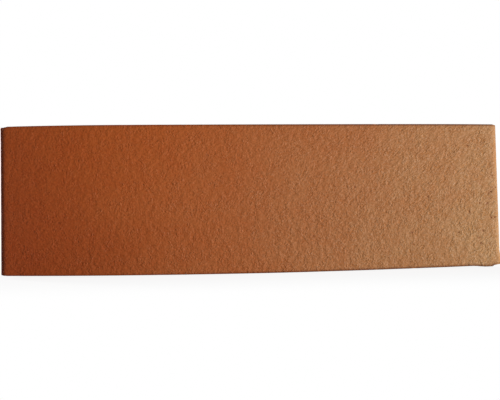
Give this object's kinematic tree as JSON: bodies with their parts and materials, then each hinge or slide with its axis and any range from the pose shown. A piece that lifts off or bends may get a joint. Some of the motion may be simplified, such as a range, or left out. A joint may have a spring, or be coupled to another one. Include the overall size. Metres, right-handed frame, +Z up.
{
  "type": "clay brick",
  "caption": "Solid extruded clay facing brick with smooth stretcher and header faces, rounded upright corners and flat wire-cut bed faces.",
  "frame": {"origin": "middle of the lower bed face, on the ground plane", "axes": "+X along the brick from header to header, +Y from the front stretcher face to the back one, +Z up through the bed faces"},
  "size_m": [0.24, 0.115, 0.071],
  "materials": {
    "fired_clay": "matt unglazed fired clay with a fine leathery grain, orange-brown shading to a paler sandy tan along its length"
  },
  "bodies": {
    "root": {"brick": "fired_clay"}
  },
  "joints": []
}
